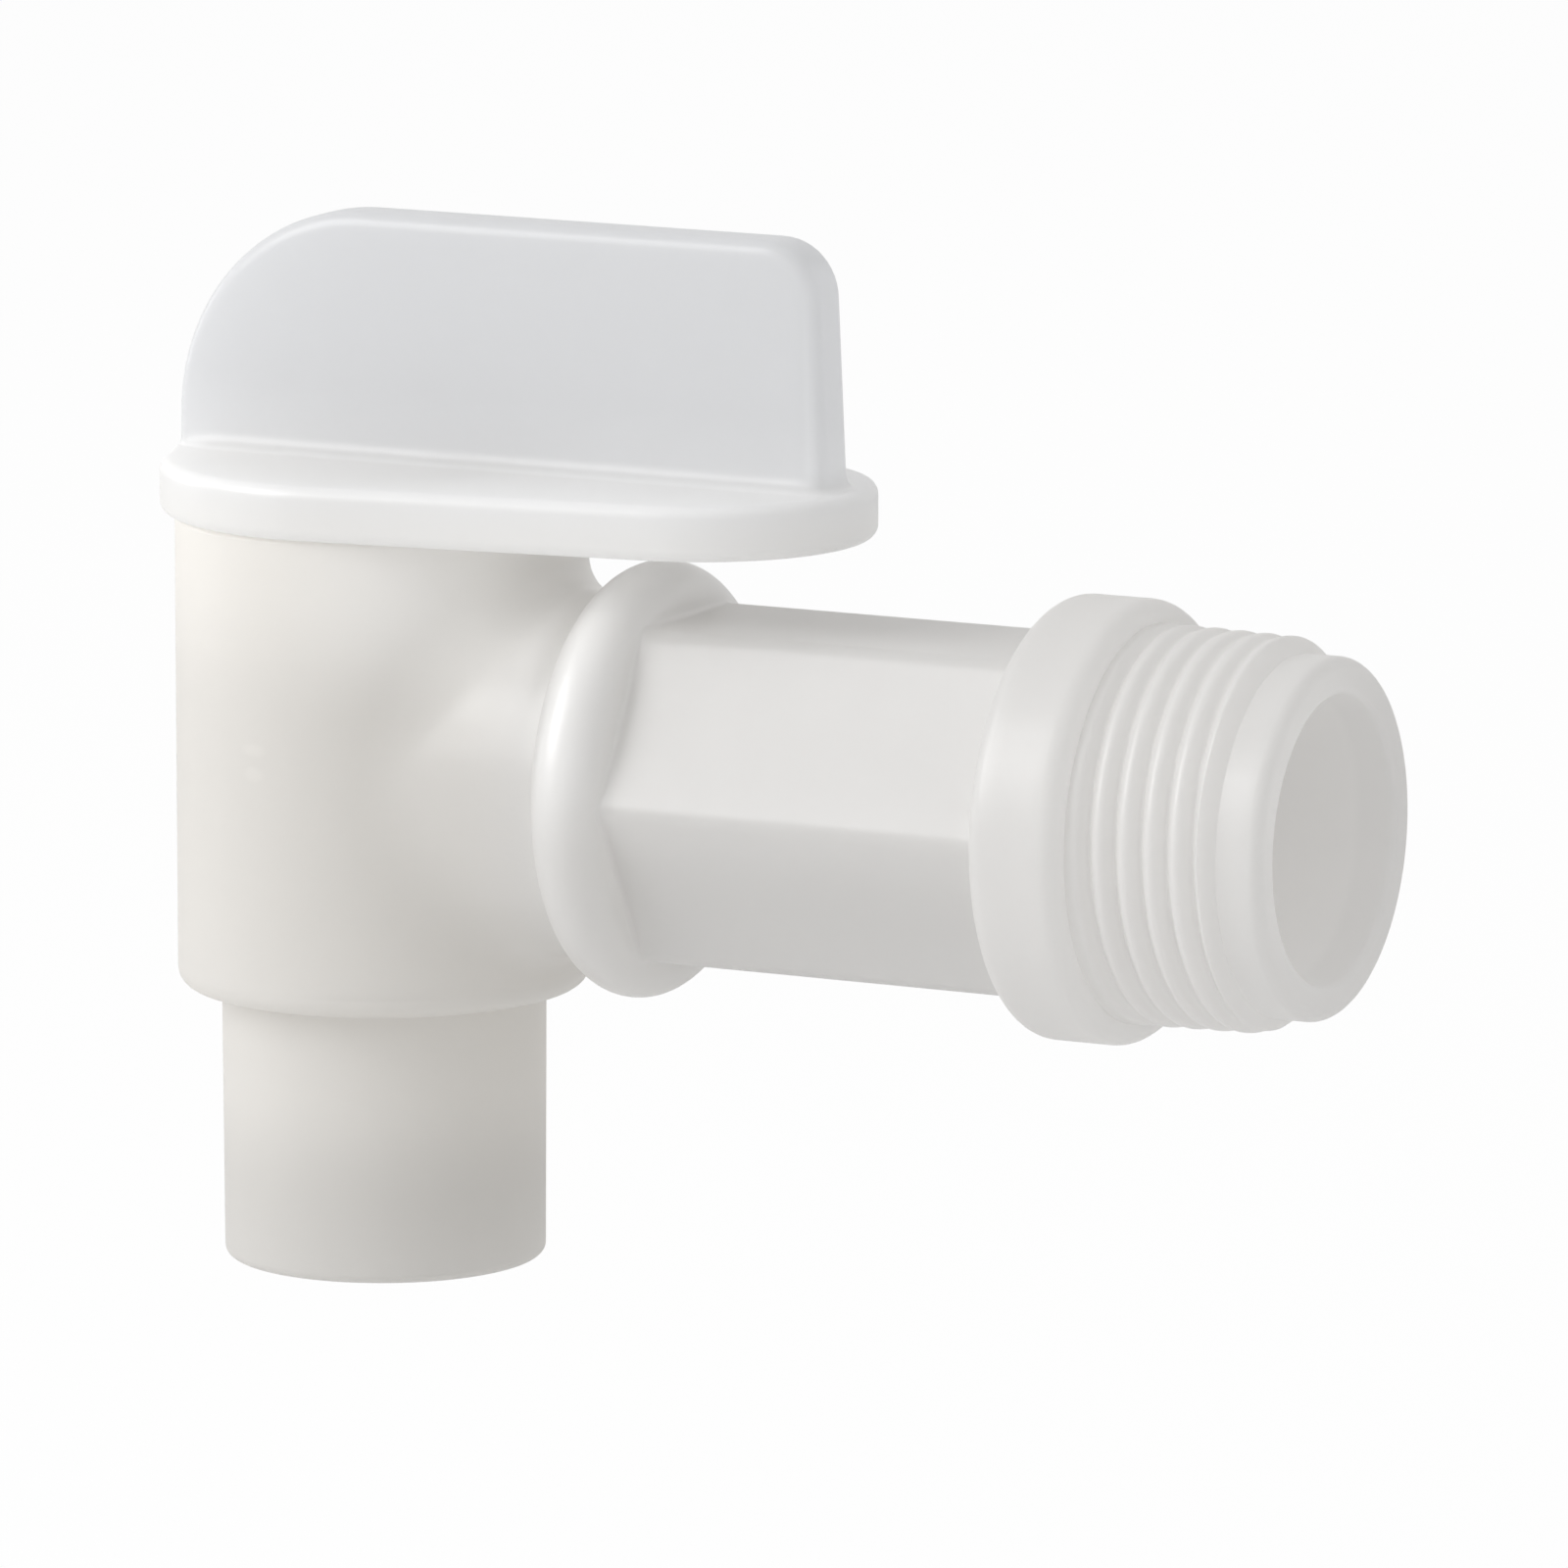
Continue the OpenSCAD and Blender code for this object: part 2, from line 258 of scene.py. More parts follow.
# Studio, in metres and watts: the floor's half width, its distance below the spout, its grey and
# the share of white it shows, the world's plain level, and each lamp's place, width and power
FLOOR_HALF = 4.0
FLOOR_DROP = 0.045
FLOOR_GREY = (0.9, 0.9, 0.9, 1)
FLOOR_WHITE = 0.95
WHITE = (1, 1, 1, 1)
WORLD_LEVEL = 0.63
LAMPS = {"key": ((-0.53, -0.50, 0.42), 0.5, 4.0), "left strip": ((-0.80, 0.02, 0.12), 0.3, 0.8)}
LAMP_AIM = Vector((-0.03, 0, 0))

# Camera of the photograph: pixels across its image, its focal length in pixels, pixels for a
# millimetre at the barrel, and the pixel of the point where the barrel's axis meets the inlet's
IMAGE = 1600
FOCAL = 14000
PIXELS_PER_MM = 15.16
AZIMUTH = math.radians(26.87)
ELEVATION = math.radians(10.26)
BARREL_PIXEL = (391, 769.4)
SENSOR = 36
CLIP_NEAR, CLIP_FAR = 0.05, 20


def unit(v):
    """The vector v at length 1."""
    return v / np.linalg.norm(v)


def swing(a, b, share):
    """Turns from vector a to vector b, which are equally long, by a share of the angle between them."""
    cosine = np.clip(np.dot(unit(a), unit(b)), -1, 1)
    angle = math.acos(cosine)
    return (math.sin((1 - share) * angle) * a + math.sin(share * angle) * b) / math.sin(angle)


def path(*corners):
    """Points of a path in a plane. A corner is (x, y), or (x, y, radius) where it is rounded,
    or (x, y, radius, cuts) where the stretch before it is cut into more than one."""
    full = [tuple(c) + (0, 1)[len(c) - 2:] for c in corners]
    points = [np.array(full[0][:2], float)]
    for i, (x, y, radius, cuts) in enumerate(full[1:], 1):
        here = np.array((x, y), float)
        rounding = [here]
        if radius and i < len(full) - 1:
            a = unit(np.array(full[i - 1][:2]) - here)
            b = unit(np.array(full[i + 1][:2]) - here)
            half = math.acos(np.dot(a, b)) / 2
            centre = here + unit(a + b) * radius / math.sin(half)
            start, stop = here + a * radius / math.tan(half), here + b * radius / math.tan(half)
            rounding = [centre + swing(start - centre, stop - centre, k / ARC) for k in range(ARC + 1)]
        last = points[-1]
        points += [last + (rounding[0] - last) * k / cuts for k in range(1, cuts)]
        points += rounding
    return np.array(points)


def along(points, shares):
    """Points of a path at the given shares of its length."""
    lengths = np.concatenate([[0], np.cumsum(np.linalg.norm(np.diff(points, axis=0), axis=1))])
    wanted = np.asarray(shares) * lengths[-1]
    return np.stack([np.interp(wanted, lengths, points[:, k]) for k in range(points.shape[1])], 1)


class Skin:
    """A surface made of grids of points that are welded where they meet."""

    def __init__(self):
        self.points = []
        self.faces = []
        self.count = 0

    def grid(self, points, closed=False):
        """Adds a grid of points (rows, columns, 3). Closed joins its last column to its first."""
        rows, columns = points.shape[:2]
        index = self.count + np.arange(rows * columns).reshape(rows, columns)
        self.points.append(points.reshape(-1, 3))
        self.count += rows * columns
        for j in range(columns if closed else columns - 1):
            k = (j + 1) % columns
            for i in range(rows - 1):
                self.faces.append((index[i, j], index[i, k], index[i + 1, k], index[i + 1, j]))

    def mesh(self, name, extra=None):
        """Welds the grids, with another mesh if one is given, and turns the faces outwards."""
        points = np.concatenate(self.points) - np.array((REACH, 0, 0))
        mesh = bpy.data.meshes.new(name)
        mesh.from_pydata((points * MM).tolist(), [], [tuple(int(i) for i in f) for f in self.faces])
        shell = bmesh.new()
        shell.from_mesh(mesh)
        if extra:
            shell.from_mesh(extra)
        bmesh.ops.remove_doubles(shell, verts=shell.verts, dist=WELD)
        bmesh.ops.dissolve_degenerate(shell, edges=shell.edges, dist=WELD)
        bmesh.ops.recalc_face_normals(shell, faces=shell.faces)
        for face in shell.faces:
            face.smooth = True
        for edge in shell.edges:
            edge.smooth = edge.calc_face_angle(0) < SHARP
        shell.to_mesh(mesh)
        shell.free()
        return mesh


def turned(profile):
    """A grid turned about the barrel's axis from points (radius, height)."""
    a = 2 * np.pi * np.arange(COLUMNS) / COLUMNS
    r, z = profile[:, :1], profile[:, 1:]
    return np.stack([r * np.cos(a), r * np.sin(a), z + 0 * a], 2)


def wall(angles, heights, radius_at):
    """Points on a wall about the barrel's axis whose radius depends on the height."""
    r = radius_at(heights)
    return np.stack([r * np.cos(angles), r * np.sin(angles), heights], -1)


def patch_rim(low, high):
    """Angle and height of the rectangle round a hole in a wall, one for each station."""
    corner = PATCH_TOP // 2
    side = corner + PATCH_SIDE
    bottom = side + PATCH_TOP
    knots = [0, corner, side, bottom, bottom + PATCH_SIDE, STATIONS]
    i = np.arange(STATIONS)
    angles = np.interp(i, knots, np.radians([0, 90, 90, -90, -90, 0]))
    heights = np.interp(i, knots, [high, high, low, low, high, high])
    return angles, heights


def wall_with_hole(skin, hole_angles, hole_heights, low, high, radius_at, layers=9):
    """A wall about the barrel's axis with a hole on the inlet's side, from one height to another."""
    angles, heights = patch_rim(low, high)
    share = (np.arange(layers + 1) / layers)[:, None]
    skin.grid(wall(hole_angles + (angles - hole_angles) * share,
                   hole_heights + (heights - hole_heights) * share, radius_at), closed=True)
    a = np.radians(np.linspace(90, 270, PATCH_TOP + 1))[None, :]
    z = np.linspace(high, low, PATCH_SIDE + 1)[:, None]
    skin.grid(wall(a + 0 * z, z + 0 * a, radius_at))


# Angles of the stations round the inlet, from the top towards +Y, closer at the neck's six edges
even = 2 * np.pi * np.arange(STATIONS) / STATIONS
station = even + CLUSTER / NECK_SIDES * np.sin(NECK_SIDES * even)


def around(x, radius, angle=None):
    """Points round the inlet's axis, at distances x from the barrel's axis."""
    t = station if angle is None else angle
    x, y, z = np.broadcast_arrays(x, radius * np.sin(t), radius * np.cos(t))
    return np.stack([x, y, z], -1)


def plug_r(z):
    """Radius of the plug's taper at a height."""
    return PLUG_END_R + (PLUG_TOP_R - PLUG_END_R) * (z - PLUG_END_Z) / (BARREL_TOP - PLUG_END_Z)


def barrel_r(z):
    """Radius of the barrel's wall, the same at every height."""
    return BARREL_R + 0 * z


def hollow_r(z):
    """Radius of the plug's hollow, the same at every height."""
    return HOLLOW_R + 0 * z


def seat_r(z):
    """Radius of the barrel's tapered seat at a height."""
    return plug_r(z) + PLUG_CLEARANCE


def port_curve(radius_at):
    """Angle and height of the points where the port meets a wall, one for each station."""
    z = PORT_R * np.cos(station)
    return np.arcsin(PORT_R * np.sin(station) / radius_at(z)), z


def neck_r(t):
    """Radius of the hexagonal neck at an angle, with rounded edges and slightly sunk flats."""
    off = abs((math.degrees(t) + NECK_HALF_SIDE) % (2 * NECK_HALF_SIDE) - NECK_HALF_SIDE)
    run = (NECK_FLAT - NECK_EDGE) * math.tan(math.radians(NECK_HALF_SIDE))
    if off < math.degrees(math.atan2(run, NECK_FLAT)):
        across = NECK_FLAT * math.tan(math.radians(off)) / run
        return NECK_FLAT / math.cos(math.radians(off)) - NECK_SINK * (1 - across ** 2) ** 2
    centre = (NECK_FLAT - NECK_EDGE) / math.cos(math.radians(NECK_HALF_SIDE))
    slant = math.radians(NECK_HALF_SIDE - off)
    return centre * math.cos(slant) + math.sqrt(NECK_EDGE ** 2 - (centre * math.sin(slant)) ** 2)


def bead_flank(line_r, side):
    """From a line beside the bead up to the bead's crown: a small crease, then the half round."""
    core = BEAD_R - BEAD_TUBE
    if line_r + CREASE_R >= core:
        out = math.sqrt((BEAD_TUBE + CREASE_R) ** 2 - (line_r + CREASE_R - core) ** 2)
    else:
        out = BEAD_TUBE + CREASE_R
    middle = np.array((out, max(line_r + CREASE_R, core) - core))
    touch = middle * BEAD_TUBE / (BEAD_TUBE + CREASE_R)
    centre = np.array((out, line_r + CREASE_R - core))
    landing = touch if line_r + CREASE_R >= core else np.array((BEAD_TUBE, centre[1]))
    crease = [centre + swing(np.array((0, -CREASE_R)), landing - centre, k / CREASE_STEPS)
              for k in range(CREASE_STEPS + 1)]
    start = math.atan2(touch[1], touch[0])
    round_part = [BEAD_TUBE * np.array((math.cos(a), math.sin(a)))
                  for a in np.linspace(start, math.pi / 2, BEAD_FINE_STEPS)]
    rest = along(np.array([landing] + round_part[0 if line_r + CREASE_R < core else 1:]),
                 np.linspace(0, 1, BEAD_STEPS))
    flank = np.array(crease + list(rest[1:]))
    return np.stack([BEAD_X + side * flank[:, 0], core + flank[:, 1]], 1)


def saddle(t):
    """Fillet between the barrel and the boss at a station: the arc of a ball that rolls round
    both and is larger at the sides. Its points run from the barrel to the boss."""
    ball = SADDLE_R + (SADDLE_SIDE_R - SADDLE_R) * math.sin(t) ** 2
    y, z = (BOSS_R + ball) * math.sin(t), (BOSS_R + ball) * math.cos(t)
    centre = np.array((math.sqrt((BARREL_R + ball) ** 2 - y ** 2), y, z))
    to_barrel = -ball * unit(centre * (1, 1, 0))
    to_boss = -ball * unit(centre * (0, 1, 1))
    return np.array([centre + swing(to_barrel, to_boss, k / SADDLE_STEPS)
                     for k in range(SADDLE_STEPS + 1)])


def inlet_profile(t, start_x):
    """Outline of the inlet at a station, from the boss to the collar's front edge."""
    flat = neck_r(t)
    rear, front = bead_flank(BOSS_R, -1), bead_flank(flat, 1)[::-1]
    boss = path((start_x, BOSS_R), (rear[0, 0], BOSS_R, 0, 6))
    neck = path((front[-1, 0], flat), (COLLAR_X, flat, COLLAR_ROOT, 24),
                (COLLAR_X, COLLAR_R, COLLAR_EDGE, 2), (REACH, COLLAR_R, COLLAR_EDGE, 6),
                (REACH, THREAD_R))
    return np.concatenate([boss[:-1], rear, front[1:], neck[1:]])


def thread_mesh(material):
    """Threaded sleeve, from the collar to the lead-in ring, made by geometry nodes."""
    sizes = {"Start": REACH, "End": THREAD_END_X, "End slope": THREAD_END_SLOPE,
             "Crest radius": THREAD_R, "Taper": THREAD_TAPER, "Depth": THREAD_DEPTH,
             "Sharpness": THREAD_SHARPNESS, "Parting share": THREAD_PARTING,
             "Pitch": THREAD_PITCH, "Plain length": THREAD_PLAIN, "Run-in": THREAD_RUN_IN,
             "Start turn": THREAD_START, "Lead-in radius": LEAD_R, "Cluster": CLUSTER}
    counts = {"Rows": THREAD_ROWS, "Columns": STATIONS}
    tree = bpy.data.node_groups.new("screw_thread", "GeometryNodeTree")
    tree.interface.new_socket("Geometry", in_out="OUTPUT", socket_type="NodeSocketGeometry")
    for name in sizes:
        tree.interface.new_socket(name, in_out="INPUT", socket_type="NodeSocketFloat")
    for name in counts:
        tree.interface.new_socket(name, in_out="INPUT", socket_type="NodeSocketInt")
    net = Net(tree)
    given = {name: net.add("NodeGroupInput", output=name) for name in [*sizes, *counts]}
    flat = net.add("GeometryNodeMeshGrid", {}, {
        "Size X": 1.0, "Size Y": 1.0, "Vertices X": given["Rows"],
        "Vertices Y": given["Columns"] + 1})
    place = net.add("GeometryNodeInputPosition")
    share_x = net.add("ShaderNodeSeparateXYZ", {}, {0: place}, output="X") + 0.5
    share_y = net.add("ShaderNodeSeparateXYZ", {}, {0: place}, output="Y") + 0.5
    turn = share_y * (2 * math.pi)
    angle = turn + given["Cluster"] / NECK_SIDES * (turn * NECK_SIDES).sine()
    x = given["Start"] + (given["End"] - given["Start"]) * share_x
    # A right-hand screw: the crest moves out along +X as it turns from +Y to +Z.
    turns = (x - given["Start"]) / given["Pitch"] + (angle - math.pi / 2) / (2 * math.pi)
    phase = turns + given["Start turn"]
    wave = 0.5 - 0.5 * (phase * (2 * math.pi)).cosine()
    # The ridges run shallow at the top and the bottom, where the mould parts.
    relief = given["Parting share"] + (1 - given["Parting share"]) * angle.sine().size()
    groove = wave * (1 - given["Sharpness"] + given["Sharpness"] * wave) * relief
    deep = ((x - given["Start"] - given["Plain length"]) / given["Run-in"]).clamped()
    deep = deep * deep * (3 - 2 * deep)
    crest = given["Crest radius"] - given["Taper"] * share_x
    tip = given["Lead-in radius"] + (given["End"] - x) * given["End slope"]
    radius = (crest - given["Depth"] * groove * deep).smaller(tip).larger(given["Lead-in radius"])
    ring = net.add("ShaderNodeCombineXYZ", {}, {
        "X": (x - given["Start"]) * MM, "Y": radius * angle.sine() * MM,
        "Z": radius * angle.cosine() * MM})
    placed = net.add("GeometryNodeSetPosition", {}, {"Geometry": flat, "Position": ring})
    closed = net.add("GeometryNodeMergeByDistance", {}, {"Geometry": placed, "Distance": WELD})
    real = net.add("GeometryNodeRealizeInstances", {}, {"Geometry": closed})
    done = net.add("GeometryNodeSetMaterial", {}, {"Geometry": real, "Material": material})
    net.add("NodeGroupOutput", {}, {"Geometry": done}, output=None)
    carrier = bpy.data.objects.new("thread_carrier", bpy.data.meshes.new("thread_carrier"))
    bpy.context.scene.collection.objects.link(carrier)
    modifier = carrier.modifiers.new("screw_thread", "NODES")
    modifier.node_group = tree
    for item in tree.interface.items_tree:
        if item.in_out == "INPUT":
            modifier[item.identifier] = {**sizes, **counts}[item.name]
    graph = bpy.context.evaluated_depsgraph_get()
    mesh = bpy.data.meshes.new_from_object(carrier.evaluated_get(graph))
    bpy.data.objects.remove(carrier)
    return mesh


class Link:
    """An output of a node. Arithmetic on it adds Math nodes to its tree."""

    def __init__(self, net, socket):
        self.net = net
        self.socket = socket

    def math(self, operation, *values):
        """A Math node whose first input is this socket."""
        inputs = dict(enumerate((self, *values)))
        return self.net.add("ShaderNodeMath", {"operation": operation}, inputs)

    def reflected(self, operation, value):
        """A Math node whose second input is this socket."""
        return self.net.add("ShaderNodeMath", {"operation": operation}, {0: value, 1: self})

    def __add__(self, other):
        return self.math("ADD", other)

    def __sub__(self, other):
        return self.math("SUBTRACT", other)

    def __mul__(self, other):
        return self.math("MULTIPLY", other)

    def __truediv__(self, other):
        return self.math("DIVIDE", other)

    def __radd__(self, other):
        return self.reflected("ADD", other)

    def __rsub__(self, other):
        return self.reflected("SUBTRACT", other)

    def __rmul__(self, other):
        return self.reflected("MULTIPLY", other)

    def __rtruediv__(self, other):
        return self.reflected("DIVIDE", other)

    def sine(self):
        return self.math("SINE")

    def cosine(self):
        return self.math("COSINE")

    def size(self):
        return self.math("ABSOLUTE")

    def smaller(self, other):
        return self.math("MINIMUM", other)

    def larger(self, other):
        return self.math("MAXIMUM", other)

    def clamped(self):
        return self.larger(0.0).smaller(1.0)


class Net:
    """A node tree, to which one method adds every kind of node."""

    def __init__(self, tree):
        self.tree = tree

    def add(self, kind, settings=None, inputs=None, output=0):
        """Adds a node, sets it and links its inputs, and gives back one of its outputs."""
        node = self.tree.nodes.new(kind)
        for name, value in (settings or {}).items():
            setattr(node, name, value)
        for name, value in (inputs or {}).items():
            if isinstance(value, Link):
                self.tree.links.new(value.socket, node.inputs[name])
            else:
                node.inputs[name].default_value = value
        return None if output is None else Link(self, node.outputs[output])


def tap_body_mesh(material):
    """The body: barrel, shoulder, spout, boss, bead, neck, collar, thread and all the bores."""
    skin = Skin()
    wall_high = BARREL_TOP - RIM_EDGE - BARREL_MARGIN
    wall_low = SHOULDER_Z + SHOULDER_EDGE + BARREL_MARGIN
    seat_high, seat_low = SNAP_Z - SEAT_TOP_MARGIN, SEAT_FLOOR_Z + SEAT_FLOOR_MARGIN

    fillets = np.array([saddle(t) for t in station])
    skin.grid(fillets.transpose(1, 0, 2), closed=True)
    edge = fillets[:, 0]
    wall_with_hole(skin, np.arctan2(edge[:, 1], edge[:, 0]), edge[:, 2],
                   wall_low, wall_high, barrel_r)
    skin.grid(turned(path(
        (BARREL_R, wall_low), (BARREL_R, SHOULDER_Z, SHOULDER_EDGE),
        (SPOUT_TOP_R, SHOULDER_Z, SHOULDER_ROOT, 2),
        (SPOUT_END_R, SPOUT_END_Z, SPOUT_EDGE, 14),
        (SPOUT_BORE_R, SPOUT_END_Z, BORE_LIP, 2), (SPOUT_BORE_R, SEAT_FLOOR_Z, FLOOR_ROOT, 14),
        (seat_r(SEAT_FLOOR_Z), SEAT_FLOOR_Z, SOFT_EDGE, 2),
        (seat_r(seat_low), seat_low))), closed=True)
    groove = SNAP_HALF + PLUG_CLEARANCE
    low_z, high_z = SNAP_Z - groove, SNAP_Z + groove
    skin.grid(turned(path(
        (seat_r(seat_high), seat_high), (seat_r(low_z), low_z - SNAP_H, FINE_EDGE),
        (seat_r(SNAP_Z) + SNAP_H, low_z, FINE_EDGE), (seat_r(SNAP_Z) + SNAP_H, high_z, FINE_EDGE),
        (seat_r(high_z), high_z + SNAP_H, FINE_EDGE),
        (seat_r(BARREL_TOP), BARREL_TOP - SNAP_H, SOFT_EDGE, 2),
        (seat_r(BARREL_TOP) + SNAP_H, BARREL_TOP, FINE_EDGE),
        (BARREL_R, BARREL_TOP, RIM_EDGE, 2), (BARREL_R, wall_high))), closed=True)
    port_angles, port_heights = port_curve(seat_r)
    wall_with_hole(skin, port_angles, port_heights, seat_low, seat_high, seat_r)

    outside = [inlet_profile(t, edge_x) for t, edge_x in zip(station, fillets[:, -1, 0])]
    skin.grid(np.array([around(p[:, 0], p[:, 1], t) for p, t in zip(outside, station)]
                       ).transpose(1, 0, 2), closed=True)
    port_x = seat_r(port_heights) * np.cos(port_angles)
    bore = [path((THREAD_END_X, LEAD_R), (INLET_END_X, LEAD_R, LEAD_EDGE, 4),
                 (INLET_END_X, INLET_BORE_R, MOUTH_EDGE, 3),
                 (BORE_START_X, INLET_BORE_R, BORE_STEP_EDGE, 30),
                 (BORE_START_X - INLET_BORE_R + PORT_R, PORT_R, BORE_STEP_EDGE, 4),
                 (x, PORT_R, 0, 6))
            for x in port_x]
    skin.grid(np.array([around(p[:, 0], p[:, 1], t) for p, t in zip(bore, station)]
                       ).transpose(1, 0, 2), closed=True)
    return skin.mesh("tap_body_moulding", thread_mesh(material))


def plate_stations():
    """Points and outward directions along the plate's outline, one for each column."""
    taper = math.asin((PLATE_R - PLATE_TIP_R) / PLATE_SPAN)
    lean = math.pi / 2 - taper
    tip, run, back = PLATE_TIP_R * lean, PLATE_SPAN * math.cos(taper), PLATE_R * (math.pi - lean)
    total = tip + run + back
    end, half = BLADE_ACROSS // 2, COLUMNS // 2
    s = np.interp(np.arange(half + 1), [0, end, half - end, half],
                  [0, PLATE_END_RUN, total - PLATE_END_RUN, total])
    angle = np.interp(s, [0, tip, tip + run, total], [0, lean, lean, math.pi])
    normal = np.stack([np.cos(angle), np.sin(angle)], 1)
    share = np.clip((s - tip) / run, 0, 1)[:, None]
    centre = np.stack([PLATE_SPAN * (1 - share[:, 0]), 0 * s], 1)
    points = centre + normal * (PLATE_TIP_R + (PLATE_R - PLATE_TIP_R) * share)
    mirror = np.array((1, -1))
    return (np.concatenate([points, points[-2:0:-1] * mirror]),
            np.concatenate([normal, normal[-2:0:-1] * mirror]))


def blade_section():
    """The blade's rounding from its front face to its back face: for each step the distance
    from the middle, how far the outline is drawn in, and the share of the normal that is
    outward along the outline."""
    quarter = BLADE_ACROSS // 2 - 1
    a = np.linspace(0, math.pi / 2, quarter + 1)
    y = -BLADE_HALF + BLADE_EDGE * (1 - np.cos(a))
    inset = BLADE_EDGE * (1 - np.sin(a))
    return (np.concatenate([y, [0], -y[::-1]]), np.concatenate([inset, [0], inset[::-1]]),
            np.concatenate([np.sin(a), [1], np.sin(a)[::-1]]))


def blade_foot():
    """Points and outward directions round the blade's foot, one for each column."""
    y, inset, out = blade_section()
    side = np.sign(y) * np.sqrt(np.clip(1 - out ** 2, 0, 1))
    front = np.stack([BLADE_FRONT_X - inset, y], 1)
    back = np.stack([BLADE_BACK_X + inset, y], 1)[::-1]
    x = np.linspace(BLADE_FRONT_X - BLADE_EDGE, BLADE_BACK_X + BLADE_EDGE, BLADE_ALONG + 1)[1:-1]
    far = np.stack([x, BLADE_HALF + 0 * x], 1)
    near = np.stack([x[::-1], -BLADE_HALF + 0 * x], 1)
    points = np.concatenate([front, far, back, near])
    normals = np.concatenate([np.stack([out, side], 1), np.tile((0.0, 1.0), (len(x), 1)),
                              np.stack([-out, side], 1)[::-1], np.tile((0.0, -1.0), (len(x), 1))])
    middle = BLADE_ACROSS // 2
    return np.roll(points, -middle, axis=0), np.roll(normals, -middle, axis=0)


def blade_edges(inset, foot_z):
    """The blade's outline seen from the side, drawn in by an inset: its back, top and front."""
    top = BLADE_TOP_Z - BLADE_CURVE_Z
    curve = np.radians(np.linspace(180, 90, BLADE_CURVE_POINTS))
    curve = np.stack([BLADE_BACK_X + BLADE_CURVE_X + (BLADE_CURVE_X - inset) * np.cos(curve),
                      top + (BLADE_CURVE_Z - inset) * np.sin(curve)], 1)
    corner = np.radians(np.linspace(90, 0, BLADE_CORNER_POINTS))
    corner = np.stack([
        BLADE_FRONT_X - BLADE_LEAN - BLADE_CORNER + (BLADE_CORNER - inset) * np.cos(corner),
        BLADE_TOP_Z - BLADE_CORNER + (BLADE_CORNER - inset) * np.sin(corner)], 1)
    rise = BLADE_UP - CURVE_SPLIT
    across = BLADE_ALONG - (BLADE_CURVE_POINTS - 1 - CURVE_SPLIT) - CORNER_SPLIT
    fall = BLADE_UP - (BLADE_CORNER_POINTS - 1 - CORNER_SPLIT)
    back = np.concatenate([path((BLADE_BACK_X + inset, foot_z), (*curve[0], 0, rise))[:-1],
                           curve[:CURVE_SPLIT + 1]])
    over = np.concatenate([curve[CURVE_SPLIT:-1], path(curve[-1], (*corner[0], 0, across))[:-1],
                           corner[:CORNER_SPLIT + 1]])
    down = np.concatenate([corner[CORNER_SPLIT:-1],
                           path(corner[-1], (BLADE_FRONT_X - inset, foot_z, 0, fall))])
    return back, over, down[::-1]


def thinned(points, foot_z):
    """Draws the blade's faces together towards its top, as the mould's draft does."""
    share = (points[..., 2] - foot_z) / (BLADE_TOP_Z - foot_z)
    points[..., 1] *= 1 - BLADE_DRAFT * share
    return points


def blade_face(back, over, down, y, foot_z):
    """A flat face of the blade as a grid that its four edges bound, slightly sunk."""
    u = np.linspace(0, 1, BLADE_ALONG + 1)[None, :, None]
    v = np.linspace(0, 1, BLADE_UP + 1)[:, None, None]
    foot = np.linspace(back[0], down[0], BLADE_ALONG + 1)
    ruled = (1 - v) * foot[None] + v * over[None] + (1 - u) * back[:, None] + u * down[:, None]
    bent = ((1 - u) * (1 - v) * back[0] + u * (1 - v) * down[0]
            + (1 - u) * v * back[-1] + u * v * down[-1])
    flat = ruled - bent
    # The bulge 16 u (1 - u) v (1 - v) is 1 in the middle of the face and 0 at its edges.
    sink = BLADE_SINK * (16 * (u * (1 - u) * v * (1 - v))[..., 0])
    face = np.stack([flat[..., 0], y - np.sign(y) * sink, flat[..., 1]], -1)
    return thinned(face, foot_z)


def ring(points, z):
    """Points in plan lifted to a height."""
    return np.stack([points[:, 0], points[:, 1], z + 0 * points[:, 0]], 1)


def nearest(points, others):
    """Distance from each point to the nearest of some others."""
    return np.linalg.norm(points[:, None] - others[None], axis=2).min(1)


